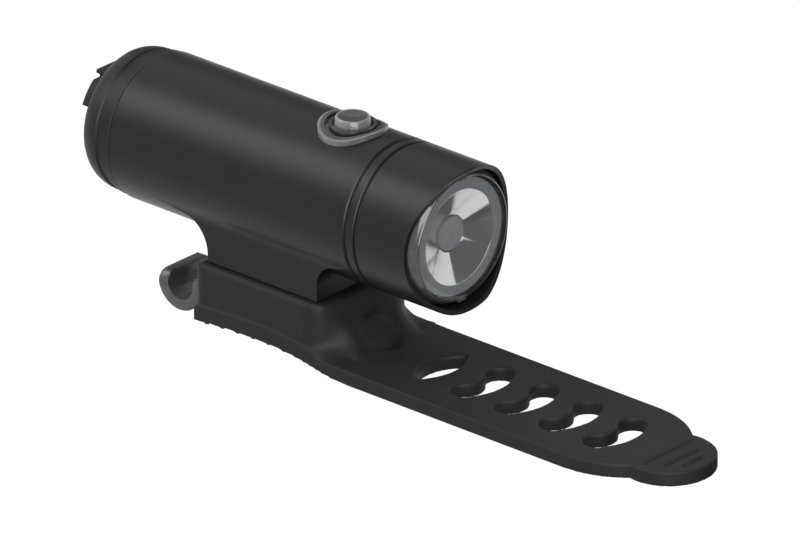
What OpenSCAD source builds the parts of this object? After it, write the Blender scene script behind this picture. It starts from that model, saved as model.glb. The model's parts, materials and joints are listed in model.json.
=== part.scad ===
// Handlebar light on a rubber strap mount.
// Millimetres. Z is up, the light shines along -Y, X runs along the handlebar.
// The origin is where the crown of the handlebar meets the rubber saddle.

/* [Light body] */
// Outside diameter of the tube
tube_d = 32; // [31.6:0.2:32.6]
// Wall of the tube
tube_wall = 2; // [1.9:0.05:2.1]
// Length of the tube behind the middle of the pedestal
tube_back = 40.7; // [40:0.5:44]
// Length of the bezel
bezel_len = 17.3; // [17:0.1:18.4]
// Depth of the scallop in each side of the bezel
scallop_depth = 3.8; // [3:0.2:4.2]
// Height of the tube axis over the handlebar
axis_height = 31.2; // [30.8:0.2:33]

/* [Pedestal] */
// Width of the pedestal under the tube
pedestal_w = 26; // [24:0.5:26.4]
// Length of the pedestal at its foot
pedestal_len = 30.2; // [28:0.2:31]
// Fillet behind the pedestal
back_fillet = 7.6; // [6:0.2:8]

/* [Button] */
// Diameter of the button
button_d = 7.8; // [7:0.2:8]
// Distance of the button in front of the middle of the pedestal
button_f = 13; // [9:0.5:14]
// Travel of the button
button_travel = 0.6; // [0.4:0.1:0.6]

/* [Strap mount] */
// Width of the strap
strap_w = 30; // [28.8:0.2:32]
// Thickness of the strap
strap_t = 3.3; // [3:0.1:3.5]
// Length of the strap from its root to the end of the pull tab
strap_len = 81.1; // [80.1:0.5:87.1]
// Radius of the front half of the saddle under the cradle
saddle_r = 75; // [70:1:85]
// Distance between the strap slots
slot_pitch = 12.1; // [11.8:0.1:12.4]
// Radius of the rounded ends of a strap slot
slot_lobe_r = 3; // [2.4:0.1:3.2]
// Radius of the pull tab
tab_r = 10; // [9.4:0.1:10.4]
// Height of the grip nubs
nub_h = 1; // [0.6:0.1:1.2]

/* [Strap hook] */
// Width of the hook
hook_w = 13.8; // [12:0.2:14.4]
// Thickness of the hook
hook_t = 2.4; // [2:0.1:2.5]
// Outside radius of the hook
hook_r = 6; // [5.6:0.1:6.6]

/* [Port cover] */
// Radius of the rounded side of the cover
cover_r = 13.2; // [12.6:0.1:13.4]
// Thickness of the cover
cover_t = 1.75; // [1.5:0.05:1.9]

/* [Show] */
// Piece to show

/* [Hidden] */
$fn = 96;
// A hair more than nothing, for cuts that pass a face
eps = 0.5;

// Tube and head: places along the axis are distances forward of the pedestal middle
tube_r = tube_d / 2;
bore_r = tube_r - tube_wall;
front_f = 24.7;
rear_f = -tube_back;
seal_gap = 0.6;
flange_w = 2;
flange_f0 = front_f + seal_gap;
flange_f1 = flange_f0 + flange_w;
bezel_f0 = flange_f1 + seal_gap;
bezel_f1 = bezel_f0 + bezel_len;
bezel_bore = tube_r - 0.95;
scallop_half = tube_r - 0.4;
scallop_r = (scallop_half * scallop_half + scallop_depth * scallop_depth) / (2 * scallop_depth);

// Lens, reflector and LED, counted back from the front of the bezel
lens_f = bezel_f1 - 1.8;
lens_r = bezel_bore - 1.1;
lens_t = 1.6;
lens_flange_r = bezel_bore - 0.15;
lens_in_r = lens_r - 1.05;
skirt_f = lens_f - 3;
lens_back = skirt_f - 1.2;
cup_f = lens_back - 1.2;
cup_r = bezel_bore - 0.1;
cup_in = cup_r - 1.75;
bowl_f = lens_f - lens_t - 0.2;
bowl_r = 10.4;
bowl_floor = bowl_f - 4;
throat_r = 4.3;
board_f = bowl_floor - 3.3;
board_t = 1.2;
web_f = board_f - board_t;
board_r = cup_in - 0.6;
screw_x = 9.5;
wire_r = 1.5;
wire_z = 8.5;
hub_r = 6;
hub_in = 3.6;

// Cell, carrier and driver board: heights are over the tube axis
cell_r = 9.2;
cell_len = 65;
cell_z = -4.2;
cell_f1 = flange_f1 - 0.4;
cell_f0 = cell_f1 - cell_len;
tab_t = 0.3;
collar_f0 = front_f - 4.7;
collar_in = bore_r - 0.6;
spigot_len = 2.2;
spigot_f = rear_f + spigot_len;
carrier_r = bore_r - 0.15;
carrier_f0 = spigot_f + 0.4;
carrier_f1 = collar_f0 - 0.4;
pcb_z = 5.6;
pcb_t = 1.2;
pcb_top = pcb_z + pcb_t;
pcb_w = 21;
coil_f = -21;

// Button and switch: heights are over the tube axis
ledge_r = bore_r + 0.8;
surround_r = 7.3;
surround_lift = 0.9;
button_r = button_d / 2;
button_top = tube_r + 2.3;
button_dish = 0.5;
button_gap = 0.3;
flange_top = 13.4;
stem_z = 11.9;
switch_w = 6;
switch_h = 3.5;
switch_top = pcb_top + switch_h;
plunger_r = 1.6;

// Rear cap and port, counted back from the end of the tube
gasket_t = 0.4;
cap_f0 = rear_f - gasket_t;
cap_len = 8.4;
cap_f1 = cap_f0 - cap_len;
cap_wall = 4.2;
cap_groove = 0.85;
cap_end_r = 13;
cap_shoulder_r = tube_r - 0.5;
cap_shoulder_f = cap_f0 - 3.7;
usb_w = 8.94;
usb_h = 3.2;
usb_len = 7.4;
usb_z = pcb_top + usb_h / 2;
pocket_depth = 2;
pocket_w = 12.6;
pocket_z0 = pcb_top - 0.6;
pocket_h = 4.6;
usb_f = cap_f1 + pocket_depth + 0.1;
pcb_f0 = cap_f1 + cap_wall + 0.3;

// Port cover hinge
cover_gap = 0.15;
cover_f = cap_f1 - cover_gap;
cover_z0 = 5.3;
cover_top = 10;
cover_z1 = 11.3;
hinge_f = cover_f - cover_t / 2;
bead_r = 0.75;
bead_w = 18;
anchor_z0 = 2.9;
key_z0 = 3.2;
key_h = 0.9;
key_w = 6;
lip_w = 13.2;
lip_out = 1.1;
lip_h = 0.9;

// Pedestal: heights are over the handlebar, y is counted backward
pedestal_z = 12;
foot_h = 0.5;
foot_in = 0.5;
ped_y0 = -pedestal_len / 2 + 0.4;
ped_y1 = pedestal_len / 2 + 0.4;
front_fillet = 5.4;
flank_fillet = 5;
flank_x = pedestal_w / 2 + flank_fillet;
flank_reach = tube_r + flank_fillet;
flank_z = -sqrt(flank_reach * flank_reach - flank_x * flank_x);
flank_k = tube_r / flank_reach;
flank_top = axis_height + flank_z * flank_k;
fillet_top = axis_height - 9.7;
back_fillet_y = ped_y1 + back_fillet;
back_fillet_z = fillet_top - back_fillet;
back_fade = 9;
front_fillet_y = ped_y0 - front_fillet;
front_fillet_z = fillet_top - front_fillet;
front_fade = 4.2;
fade_bite = 0.1;
screw_y = 8;
boss_r = 3.2;

// Saddle, band and strap
strap_z1 = 0.6;
strap_z0 = strap_z1 - strap_t;
saddle_z = -saddle_r;
saddle_back_r = 170;
saddle_dip = 0.02;
saddle_back_z = -saddle_dip - saddle_back_r;
sweep_r = 40;
sweep_z = strap_z0 + sweep_r;
sweep_dz = sweep_z - saddle_z;
sweep_run = sqrt((saddle_r + sweep_r) * (saddle_r + sweep_r) - sweep_dz * sweep_dz);
sweep_y = -sweep_run;
turn_y = -sweep_run * saddle_r / (saddle_r + sweep_r);
turn_top_y = -sweep_run * (saddle_r + strap_t) / (saddle_r + sweep_r);
cradle_y0 = -17.3;
cradle_y1 = 18.3;
band_proud = 0.5;
cradle_half = strap_w / 2 - band_proud;
cradle_front_r = 5.5;
cradle_rear_r = 2.5;
cradle_ease = 0.8;
corner_fillet = 2.4;
ramp_r = 10.2;
ramp_half = 9.5;
ramp_y = cradle_y0 - ramp_r;
dimple_r = 4.5;
dimple_tilt = 42;
dimple_depth = 1.1;
strap_y0 = ramp_y - 0.9;
nub_pitch = 4.3;
nub_step = 4.6;
nub_y = 2;
nub_r = 0.9;

// Strap slots and pull tab
slot1_y = -36.8;
slot1_half = 7.6;
slot1_front = 3.8;
slot1_rear = 2.8;
slot1_front_r = 11.5;
slot1_rear_r = 9.6;
slot2_y = slot1_y - slot_pitch;
lobe_x = 5.4;
lobe_y = 0.2;
slot_front = 4.5;
slot_bump = 0.9;
slot_bite = 0.05;
groove_r = 0.7;
reach = slot_front - slot_lobe_r;
arch_c = (lobe_x * lobe_x + lobe_y * lobe_y - reach * reach) / (2 * (reach + lobe_y));
arch_r = arch_c + slot_front;
heel = slot_lobe_r - slot_bump;
bump_c = (lobe_x * lobe_x + lobe_y * lobe_y - heel * heel) / (2 * (heel + lobe_y));
bump_r = bump_c - slot_bump;
shoulder_r = 20;
tab_y = strap_y0 - strap_len + tab_r;
shoulder_y = tab_y + 15.5;

// Hook and its plate
plate_z0 = 1.5;
plate_z1 = plate_z0 + hook_t;
plate_y0 = -13;
hook_y = 29;
hook_z = 1.2;
hook_in = hook_r - hook_t;
hook_tip_z = 2.9;
hook_corner = 3.5;
neck_y = hook_y - hook_r;
access_r = 3;

// Round bar along the tube axis, from one forward place to another
module rod(a, b, r, z = 0) {
    translate([0, -a, axis_height + z])
        rotate([90, 0, 0])
            cylinder(h = b - a, r = r);
}

// Profile drawn as [radius, forward place], turned round the tube axis
module turned(points) {
    translate([0, 0, axis_height])
        rotate([90, 0, 0])
            rotate_extrude()
                polygon(points);
}

// Drawing across the light as [x, height over the axis], run between two forward places
module across(a, b) {
    translate([0, -a, axis_height])
        rotate([90, 0, 0])
            linear_extrude(b - a)
                children();
}

// Drawing of the side as [y, z], run over x from -half to half
module side(half) {
    translate([-half, 0, 0])
        rotate([90, 0, 90])
            linear_extrude(2 * half)
                children();
}

// Upright round bar
module post(x, y, z0, z1, r) {
    translate([x, y, z0])
        cylinder(h = z1 - z0, r = r);
}

// Rectangle from one corner to the other
module box2(x0, y0, x1, y1) {
    translate([x0, y0])
        square([x1 - x0, y1 - y0]);
}

// Round end bar drawing: a slot with its middle at the place
module slot2(x, y, half, r) {
    translate([x, y]) {
        square([2 * half, 2 * r], center = true);
        for (s = [-1, 1])
            translate([s * half, 0])
                circle(r);
    }
}

// One end of the pedestal cut away: a fillet under the tube, then a slow fade into it
module pedestal_end(y, r, fade) {
    box2(0, pedestal_z, r + fade + eps, y);
    translate([r, y])
        circle(r);
    polygon([[r - eps, y], [r - eps, y + r - fade_bite], [r + fade, flank_top + fade_bite],
             [r + fade + eps, flank_top + eps], [r + fade + eps, y]]);
}

module pedestal_side() {
    difference() {
        box2(front_fillet_y - front_fade, pedestal_z + foot_h, back_fillet_y + back_fade, flank_top + eps);
        translate([ped_y1, 0])
            pedestal_end(back_fillet_z, back_fillet, back_fade);
        translate([ped_y0, 0])
            scale([-1, 1])
                pedestal_end(front_fillet_z, front_fillet, front_fade);
    }
}

// Section across the pedestal: flat flanks with a concave blend into the round of the tube
module pedestal_section() {
    box2(-pedestal_w / 2, pedestal_z - axis_height, pedestal_w / 2, flank_z * flank_k);
    for (s = [-1, 1])
        scale([s, 1])
            difference() {
                polygon([[pedestal_w / 2 - 1, flank_z], [pedestal_w / 2, flank_z],
                         [flank_x * flank_k, flank_z * flank_k], [pedestal_w / 2 - 1, flank_z * flank_k]]);
                translate([flank_x, flank_z])
                    circle(flank_fillet);
            }
}

module pedestal() {
    intersection() {
        side(tube_r)
            pedestal_side();
        across(-back_fillet_y - back_fade, -front_fillet_y + front_fade)
            pedestal_section();
    }
}

module button_pocket() {
    difference() {
        post(0, -button_f, axis_height + bore_r - 3, axis_height + tube_r + 3, surround_r + 0.1);
        rod(button_f - 12, button_f + 12, ledge_r);
    }
    post(0, -button_f, axis_height + 6, axis_height + tube_r + 3, button_r + 1.2);
}

module body_shell() {
    color([0.16, 0.16, 0.17])
        difference() {
            union() {
                turned([[bore_r - eps, rear_f], [tube_r - 0.4, rear_f], [tube_r, rear_f + 0.4],
                        [tube_r, front_f - 0.25], [tube_r - 0.25, front_f], [bore_r - eps, front_f]]);
                pedestal();
                side(pedestal_w / 2 - foot_in)
                    box2(ped_y0 + foot_in, pedestal_z, ped_y1 - foot_in, pedestal_z + foot_h + eps);
                for (s = [-1, 1])
                    post(0, s * screw_y, plate_z1, pedestal_z + eps, boss_r);
            }
            rod(rear_f - eps, front_f + eps, bore_r);
            button_pocket();
            for (s = [-1, 1])
                post(0, s * screw_y, plate_z1 - eps, pedestal_z + 2.4, 1.3);
        }
}

module heat_sink() {
    color([0.2, 0.2, 0.21])
        difference() {
            turned([[0, web_f], [cup_in, web_f], [cup_in, cup_f], [cup_r, cup_f], [cup_r, flange_f1],
                    [tube_r - 0.2, flange_f1], [tube_r, flange_f1 - 0.2], [tube_r, flange_f0 + 0.2],
                    [tube_r - 0.2, flange_f0], [bore_r - 0.1, flange_f0], [bore_r - 0.1, collar_f0],
                    [collar_in, collar_f0], [collar_in, flange_f1], [0, flange_f1]]);
            for (s = [-1, 1])
                translate([s * screw_x, 0, 0])
                    rod(web_f - 3.5, web_f + eps, 0.85);
            rod(flange_f1 - eps, web_f + eps, wire_r, wire_z);
        }
}

module body_seal() {
    color([0.05, 0.05, 0.05])
        turned([[bore_r + 0.1, front_f + 0.05], [tube_r - 0.7, front_f + 0.05],
                [tube_r - 0.7, flange_f0 - 0.05], [bore_r + 0.1, flange_f0 - 0.05]]);
}

module bezel_seal() {
    color([0.05, 0.05, 0.05])
        turned([[cup_r + 0.05, flange_f1 + 0.05], [tube_r - 0.6, flange_f1 + 0.05],
                [tube_r - 0.6, bezel_f0 - 0.05], [cup_r + 0.05, bezel_f0 - 0.05]]);
}

module bezel() {
    color([0.16, 0.16, 0.17])
        difference() {
            turned([[bezel_bore, bezel_f0], [tube_r - 0.2, bezel_f0], [tube_r, bezel_f0 + 0.2],
                    [tube_r, bezel_f1 - 0.3], [tube_r - 0.25, bezel_f1], [bezel_bore + 0.2, bezel_f1],
                    [bezel_bore, bezel_f1 - 0.2]]);
            translate([-tube_r - 1, -bezel_f1 - scallop_r + scallop_depth, axis_height])
                rotate([0, 90, 0])
                    cylinder(h = 2 * tube_r + 2, r = scallop_r);
        }
}

module front_lens() {
    color([0.85, 0.88, 0.9, 0.5]) {
        turned([[0, lens_f], [lens_r - 0.5, lens_f], [lens_r, lens_f - 0.5], [lens_flange_r, skirt_f],
                [lens_flange_r, lens_back], [lens_in_r, lens_back], [lens_in_r, lens_f - lens_t],
                [0, lens_f - lens_t]]);
        for (s = [-1, 1])
            across(lens_f - 1.2, lens_f - 0.25)
                translate([0, s * (lens_r - 0.4)])
                    square([2.4, 1.2], center = true);
    }
}

module lens_gasket() {
    color([0.05, 0.05, 0.05])
        turned([[cup_in + 0.2, cup_f], [cup_r - 0.05, cup_f], [cup_r - 0.05, lens_back],
                [cup_in + 0.2, lens_back]]);
}

module reflector() {
    steps = 8;
    bowl = [for (i = [0 : steps])
        [throat_r + (bowl_r - throat_r) * i / steps, bowl_floor + (bowl_f - bowl_floor) * pow(i / steps, 1.6)]];
    color([0.8, 0.8, 0.82])
        turned(concat(bowl, [[lens_in_r - 0.2, bowl_f], [lens_in_r - 0.2, bowl_f - 1.2],
                             [bowl_r + 1.2, bowl_f - 1.2], [hub_r, bowl_floor - 1.7], [hub_r, board_f],
                             [hub_in, board_f], [hub_in, bowl_floor - 1.3], [throat_r, bowl_floor - 1.3]]));
}

module centre_lens() {
    dome = 9;
    color([0.7, 0.72, 0.74, 0.7])
        intersection() {
            rod(bowl_floor - 1.25, bowl_floor + 1, throat_r - 0.1);
            translate([0, -(bowl_floor + 0.6 - dome), axis_height])
                sphere(dome);
        }
}

module led_emitter() {
    color([0.95, 0.9, 0.5]) {
        across(board_f, board_f + 0.7)
            square([3.5, 3.5], center = true);
        intersection() {
            rod(board_f + 0.6, board_f + 2.5, 1.4);
            translate([0, -board_f - 0.6, axis_height])
                sphere(1.3);
        }
    }
}

module led_board() {
    color([0.85, 0.85, 0.83])
        difference() {
            rod(web_f, board_f, board_r);
            for (s = [-1, 1])
                translate([s * screw_x, 0, 0])
                    rod(web_f - eps, board_f + eps, 1.05);
            rod(web_f - eps, board_f + eps, wire_r, wire_z);
        }
}

module board_screws() {
    color([0.7, 0.7, 0.7])
        for (s = [-1, 1])
            translate([s * screw_x, 0, 0])
                difference() {
                    union() {
                        rod(web_f - 3, board_f + eps, 0.8);
                        rod(board_f, board_f + 1.2, 1.8);
                    }
                    rod(board_f + 0.5, board_f + 2, 0.7);
                }
}

module battery_cell() {
    color([0.15, 0.45, 0.3]) {
        rod(cell_f0, cell_f1 - 0.8, cell_r, cell_z);
        rod(cell_f1 - 1, cell_f1, 3.4, cell_z);
    }
}

module cell_tabs() {
    color([0.75, 0.74, 0.7])
        for (a = [cell_f0 - tab_t, cell_f1])
            across(a, a + tab_t)
                box2(-2.5, cell_z - 3, 2.5, pcb_z - 0.1);
}

module cell_carrier() {
    color([0.3, 0.3, 0.32])
        across(carrier_f0, carrier_f1)
            difference() {
                circle(carrier_r);
                translate([0, cell_z])
                    circle(cell_r + 0.1);
                box2(-7.5, cell_z, 7.5, tube_r);
                box2(-tube_r, pcb_z, tube_r, tube_r);
            }
}

module driver_board() {
    color([0.05, 0.3, 0.15]) {
        across(carrier_f0 + 0.5, carrier_f1)
            box2(-pcb_w / 2, pcb_z, pcb_w / 2, pcb_top);
        across(pcb_f0, carrier_f0 + 1)
            box2(-8, pcb_z, 8, pcb_top);
        for (f = [-22, -8, 0])
            for (s = [-1, 1])
                across(f, f + 4)
                    square_at(s * 6.5, pcb_top + 0.4, 3.2, 1.2);
        across(coil_f, coil_f + 8)
            square_at(0, pcb_top + 0.7, 7, 1.8);
    }
}

module usb_socket() {
    color([0.72, 0.72, 0.72]) {
        difference() {
            across(usb_f, usb_f + usb_len)
                slot2(0, usb_z, usb_w / 2 - usb_h / 2, usb_h / 2);
            across(usb_f - eps, usb_f + usb_len - 1.2)
                slot2(0, usb_z, usb_w / 2 - usb_h / 2, usb_h / 2 - 0.3);
        }
        across(usb_f + 0.8, usb_f + usb_len - 1)
            square_at(0, usb_z, 6.7, 0.7);
    }
}

module square_at(x, z, w, h) {
    translate([x, z])
        square([w, h], center = true);
}

module tact_switch() {
    color([0.1, 0.1, 0.1])
        difference() {
            across(button_f - switch_w / 2, button_f + switch_w / 2)
                box2(-switch_w / 2, pcb_top, switch_w / 2, switch_top);
            post(0, -button_f, axis_height + switch_top - 1.5, axis_height + switch_top + 1, plunger_r + 0.3);
        }
}

module indicator_leds() {
    color([0.9, 0.9, 0.8])
        for (s = [-1, 1])
            across(button_f - 0.8, button_f + 0.8)
                box2(s * 4.6 - 0.4, pcb_top, s * 4.6 + 0.4, pcb_top + 0.7);
}

module button_surround() {
    color([0.55, 0.55, 0.57])
        difference() {
            union() {
                difference() {
                    intersection() {
                        post(0, -button_f, axis_height + 10, axis_height + tube_r + 3, surround_r);
                        rod(button_f - 12, button_f + 12, tube_r + surround_lift);
                    }
                    difference() {
                        post(0, -button_f, axis_height + 10, axis_height + tube_r + 3, surround_r - 1.4);
                        rod(button_f - 12, button_f + 12, tube_r + 0.15);
                    }
                }
                post(0, -button_f, axis_height + tube_r - 0.6, axis_height + tube_r + 0.8, button_r + 1.1);
            }
            rod(button_f - 12, button_f + 12, ledge_r + 0.05);
            post(0, -button_f, axis_height + 10, axis_height + tube_r + 3, button_r + button_gap);
        }
}

module button_cap() {
    rim_r = button_r - 0.75;
    dish_r = (rim_r * rim_r + button_dish * button_dish) / (2 * button_dish);
    color([0.75, 0.76, 0.78])
        translate([0, -button_f, axis_height])
            difference() {
                rotate_extrude()
                    polygon([[0, stem_z], [1.5, stem_z], [1.5, stem_z + 0.7], [button_r + 0.9, stem_z + 0.7],
                             [button_r + 0.9, flange_top], [button_r, flange_top], [button_r, tube_r],
                             [button_r - 0.25, button_top - 0.3], [button_r - 0.5, button_top],
                             [0, button_top]]);
                translate([0, 0, button_top - button_dish + dish_r])
                    sphere(dish_r);
            }
}

module switch_plunger() {
    color([0.85, 0.85, 0.85])
        post(0, -button_f, axis_height + switch_top - 0.8, axis_height + stem_z - 0.02, plunger_r);
}

module rear_cap() {
    steps = 7;
    run = cap_shoulder_f - cap_f1;
    dome = [for (i = [0 : steps])
        [cap_end_r + (cap_shoulder_r - cap_end_r) * cos(90 * i / steps),
         cap_shoulder_f - run * sin(90 * i / steps)]];
    color([0.12, 0.12, 0.125])
        difference() {
            turned(concat([[bore_r - 1.05, spigot_f], [bore_r - 0.1, spigot_f], [bore_r - 0.1, cap_f0],
                           [tube_r - 0.25, cap_f0], [tube_r - 0.25, cap_f0 - 1.4],
                           [tube_r - cap_groove, cap_f0 - 1.6], [tube_r - cap_groove, cap_f0 - 3.4]],
                          dome,
                          [[0, cap_f1], [0, cap_f1 + cap_wall], [bore_r - 2, cap_f1 + cap_wall],
                           [bore_r - 1.05, cap_f1 + cap_wall + 0.9]]));
            across(cap_f1 - eps, cap_f1 + pocket_depth)
                box2(-pocket_w / 2, pocket_z0, pocket_w / 2, pocket_z0 + pocket_h);
            across(cap_f1, cap_f1 + cap_wall + eps)
                slot2(0, usb_z, usb_w / 2 - usb_h / 2, usb_h / 2 + 0.2);
            across(cap_f1 - eps, cap_f1 + 1.8)
                box2(-key_w / 2 - 0.05, key_z0 - 0.05, key_w / 2 + 0.05, key_z0 + key_h + 0.05);
        }
}

module rear_gasket() {
    color([0.05, 0.05, 0.05])
        turned([[bore_r + 0.1, rear_f], [tube_r - 0.45, rear_f], [tube_r - 0.45, cap_f0],
                [bore_r + 0.1, cap_f0]]);
}

module cover_anchor() {
    color([0.06, 0.06, 0.06])
        difference() {
            union() {
                across(cap_f1 - 1.1, cap_f1)
                    box2(-bead_w / 2, anchor_z0, bead_w / 2, cover_z0 - 0.3);
                across(cap_f1 - eps, cap_f1 + 1.7)
                    box2(-key_w / 2, key_z0, key_w / 2, key_z0 + key_h);
            }
            translate([-bead_w, -hinge_f, axis_height + cover_z0])
                rotate([0, 90, 0])
                    cylinder(h = 2 * bead_w, r = bead_r + 0.25);
        }
}

module port_cover() {
    color([0.07, 0.07, 0.07])
        difference() {
            union() {
                across(cover_f - cover_t, cover_f)
                    intersection() {
                        circle(cover_r);
                        box2(-cover_r, cover_z0, cover_r, cover_top);
                    }
                translate([-bead_w / 2, -hinge_f, axis_height + cover_z0])
                    rotate([0, 90, 0])
                        cylinder(h = bead_w, r = bead_r);
                across(cover_f - cover_t, cover_f)
                    box2(-lip_w / 2, cover_top - eps, lip_w / 2, cover_z1);
                across(cover_f - cover_t - lip_out, cover_f - cover_t + eps)
                    box2(-lip_w / 2, cover_z1 - lip_h, lip_w / 2, cover_z1);
                across(cover_f - eps, cover_f + cover_gap + 0.9)
                    box2(-pocket_w / 2 + 0.6, pocket_z0 + 0.5, pocket_w / 2 - 0.6, pocket_z0 + pocket_h - 0.8);
            }
            across(cover_f - 0.7, cover_f + eps)
                box2(-5, cover_z1 - 0.7, 5, cover_z1 + eps);
        }
}

// What is under the saddle, or under the band that lies over it: a tight arch in front, a flat one behind
module saddle_arch(grow) {
    translate([0, saddle_z])
        circle(saddle_r + grow, $fn = 360);
    intersection() {
        translate([0, saddle_back_z])
            circle(saddle_back_r + grow, $fn = 360);
        box2(0, saddle_z, cradle_y1 + 2, strap_z1 + 8);
    }
}

// Underside of the cradle: the arch of the saddle swept into the flat of the strap
module under_side(z1) {
    difference() {
        box2(turn_y, strap_z0 - 2, cradle_y1, z1);
        saddle_arch(0);
    }
    intersection() {
        box2(sweep_y, strap_z0, turn_y, z1);
        translate([sweep_y, sweep_z])
            circle(sweep_r, $fn = 360);
    }
}

module band_side() {
    intersection() {
        under_side(strap_z1 + 8);
        box2(turn_top_y, strap_z0 - 2, cradle_y1 - 0.6, strap_z1 + 8);
        saddle_arch(strap_t);
    }
    difference() {
        intersection() {
            under_side(strap_z1 + 8);
            box2(sweep_y, strap_z0 - 2, turn_top_y, strap_z1 + 8);
        }
        translate([sweep_y, sweep_z])
            circle(sweep_r - strap_t, $fn = 360);
    }
    box2(strap_y0, strap_z0, sweep_y, strap_z1);
}

module cradle_plan() {
    difference() {
        box2(-cradle_half, cradle_y0, cradle_half, cradle_y1);
        for (s = [-1, 1]) {
            corner_cut(s, cradle_half, cradle_y0, cradle_front_r, 1);
            corner_cut(s, cradle_half, cradle_y1, cradle_rear_r, -1);
        }
    }
}

// Waste outside a rounded corner at x = s * half
module corner_cut(s, half, y, r, up) {
    difference() {
        translate([s * (half - r / 2 + eps / 2), y + up * (r / 2 - eps / 2)])
            square(r + eps, center = true);
        translate([s * (half - r), y + up * r])
            circle(r);
    }
}

module cradle_block() {
    intersection() {
        translate([0, 0, strap_z0 - 2])
            linear_extrude(pedestal_z - strap_z0 + 2)
                cradle_plan();
        side(cradle_half + 1)
            difference() {
                under_side(pedestal_z);
                polygon([[cradle_y1 - 1.2, -3], [cradle_y1 + eps, -3], [cradle_y1 + eps, 1.4]]);
                difference() {
                    box2(cradle_y1 - 2, pedestal_z - 2, cradle_y1 + eps, pedestal_z + eps);
                    translate([cradle_y1 - 2, pedestal_z - 2])
                        circle(2);
                }
            }
        across(-cradle_y1 - eps, -cradle_y0 + eps)
            cradle_front();
    }
}

// Front view of the cradle block, with its top edges eased
module cradle_front() {
    top = pedestal_z - axis_height;
    low = strap_z0 - 2 - axis_height;
    polygon([[-cradle_half - eps, low], [cradle_half + eps, low], [cradle_half + eps, top - cradle_ease - eps],
             [cradle_half - cradle_ease, top], [-cradle_half + cradle_ease, top],
             [-cradle_half - eps, top - cradle_ease - eps]]);
}

// Fillet round the foot of a front corner of the block, cut off at the side of the strap
module corner_foot(s) {
    foot = cradle_front_r + corner_fillet;
    intersection() {
        translate([s * (cradle_half - cradle_front_r), cradle_y0 + cradle_front_r, strap_z1 - 0.5])
            rotate_extrude()
                difference() {
                    box2(0, 0, foot, corner_fillet + 0.5);
                    translate([foot, corner_fillet + 0.5])
                        circle(corner_fillet);
                }
        translate([s > 0 ? 0 : -strap_w / 2, cradle_y0 - corner_fillet - eps, strap_z0])
            cube([strap_w / 2, cradle_front_r + corner_fillet + eps, strap_t + corner_fillet]);
    }
}

module ramp() {
    side(ramp_half)
        difference() {
            box2(ramp_y, strap_z1 - 1, cradle_y0 + eps, strap_z1 + ramp_r);
            translate([ramp_y, strap_z1 + ramp_r])
                circle(ramp_r);
        }
}

module nub(x, y) {
    r = y > 0 ? saddle_back_r : saddle_r;
    fall = r - sqrt(r * r - y * y);
    translate([x, y, -fall - nub_h + nub_r])
        sphere(nub_r, $fn = 32);
}

module strap_cradle() {
    color([0.09, 0.09, 0.09])
        difference() {
            union() {
                side(strap_w / 2)
                    band_side();
                cradle_block();
                for (s = [-1, 1])
                    corner_foot(s);
                ramp();
                for (i = [-3 : 3])
                    for (j = [-2 : 3])
                        if (abs(i) > 0)
                            nub(i * nub_step, nub_y + j * nub_pitch);
            }
            translate([0, ramp_y, strap_z1 + ramp_r])
                rotate([180 + dimple_tilt, 0, 0])
                    cylinder(h = ramp_r + dimple_depth, r = dimple_r);
            translate([-hook_w / 2 - 0.1, plate_y0 - 0.1, plate_z0 - 0.05])
                cube([hook_w + 0.2, cradle_y1 - plate_y0 + 1, hook_t + 0.1]);
            for (s = [-1, 1]) {
                post(0, s * screw_y, plate_z1 - 0.2, pedestal_z + eps, boss_r + 0.1);
                post(0, s * screw_y, strap_z0 - 3, plate_z0 + 0.2, access_r);
            }
        }
}

module hook_side() {
    box2(plate_y0, plate_z0, neck_y, plate_z1);
    intersection() {
        translate([neck_y, plate_z0])
            circle(hook_t);
        box2(neck_y - 0.01, plate_z0, neck_y + hook_t + eps, plate_z1 + eps);
    }
    box2(neck_y, hook_z - 0.01, neck_y + hook_t, plate_z0 + 0.01);
    difference() {
        translate([hook_y, hook_z])
            circle(hook_r);
        translate([hook_y, hook_z])
            circle(hook_in);
        box2(hook_y - hook_r - eps, hook_z, hook_y + hook_r + eps, hook_z + hook_r + eps);
    }
    box2(hook_y + hook_in, hook_z - 0.01, hook_y + hook_r, hook_tip_z - hook_t / 2);
    translate([hook_y + (hook_in + hook_r) / 2, hook_tip_z - hook_t / 2])
        circle(hook_t / 2);
}

module strap_hook() {
    color([0.5, 0.5, 0.52])
        difference() {
            side(hook_w / 2)
                hook_side();
            for (s = [-1, 1])
                difference() {
                    translate([s * hook_w / 2 - hook_corner, hook_y + 1, hook_tip_z - hook_corner])
                        cube([2 * hook_corner, hook_r + 2, hook_corner + 1]);
                    translate([s * (hook_w / 2 - hook_corner), hook_y, hook_tip_z - hook_corner])
                        rotate([-90, 0, 0])
                            cylinder(h = hook_r + 4, r = hook_corner);
                    translate([-hook_w / 2 + hook_corner, hook_y, hook_tip_z - hook_corner - 1])
                        cube([hook_w - 2 * hook_corner, hook_r + 4, hook_corner + 3]);
                }
            for (s = [-1, 1])
                translate([0, s * screw_y, plate_z0]) {
                    translate([0, 0, -eps])
                        cylinder(h = hook_t + 2 * eps, r = 1.6);
                    translate([0, 0, -0.01])
                        cylinder(h = 1.4, r1 = 2.85, r2 = 1.45);
                }
        }
}

module mount_screws() {
    color([0.6, 0.6, 0.62])
        for (s = [-1, 1])
            translate([0, s * screw_y, plate_z0])
                difference() {
                    union() {
                        cylinder(h = 1.4, r1 = 2.7, r2 = 1.3);
                        cylinder(h = pedestal_z + 1.8 - plate_z0, r = 1.2);
                    }
                    translate([0, 0, -eps])
                        cylinder(h = 1 + eps, r = 1.15, $fn = 6);
                }
}

module strap_plan() {
    box2(-strap_w / 2, shoulder_y, strap_w / 2, strap_y0);
    intersection() {
        shoulder_plan();
        box2(-strap_w, shoulder_y - shoulder_r, strap_w, shoulder_y);
    }
    translate([0, tab_y])
        circle(tab_r);
}

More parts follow.
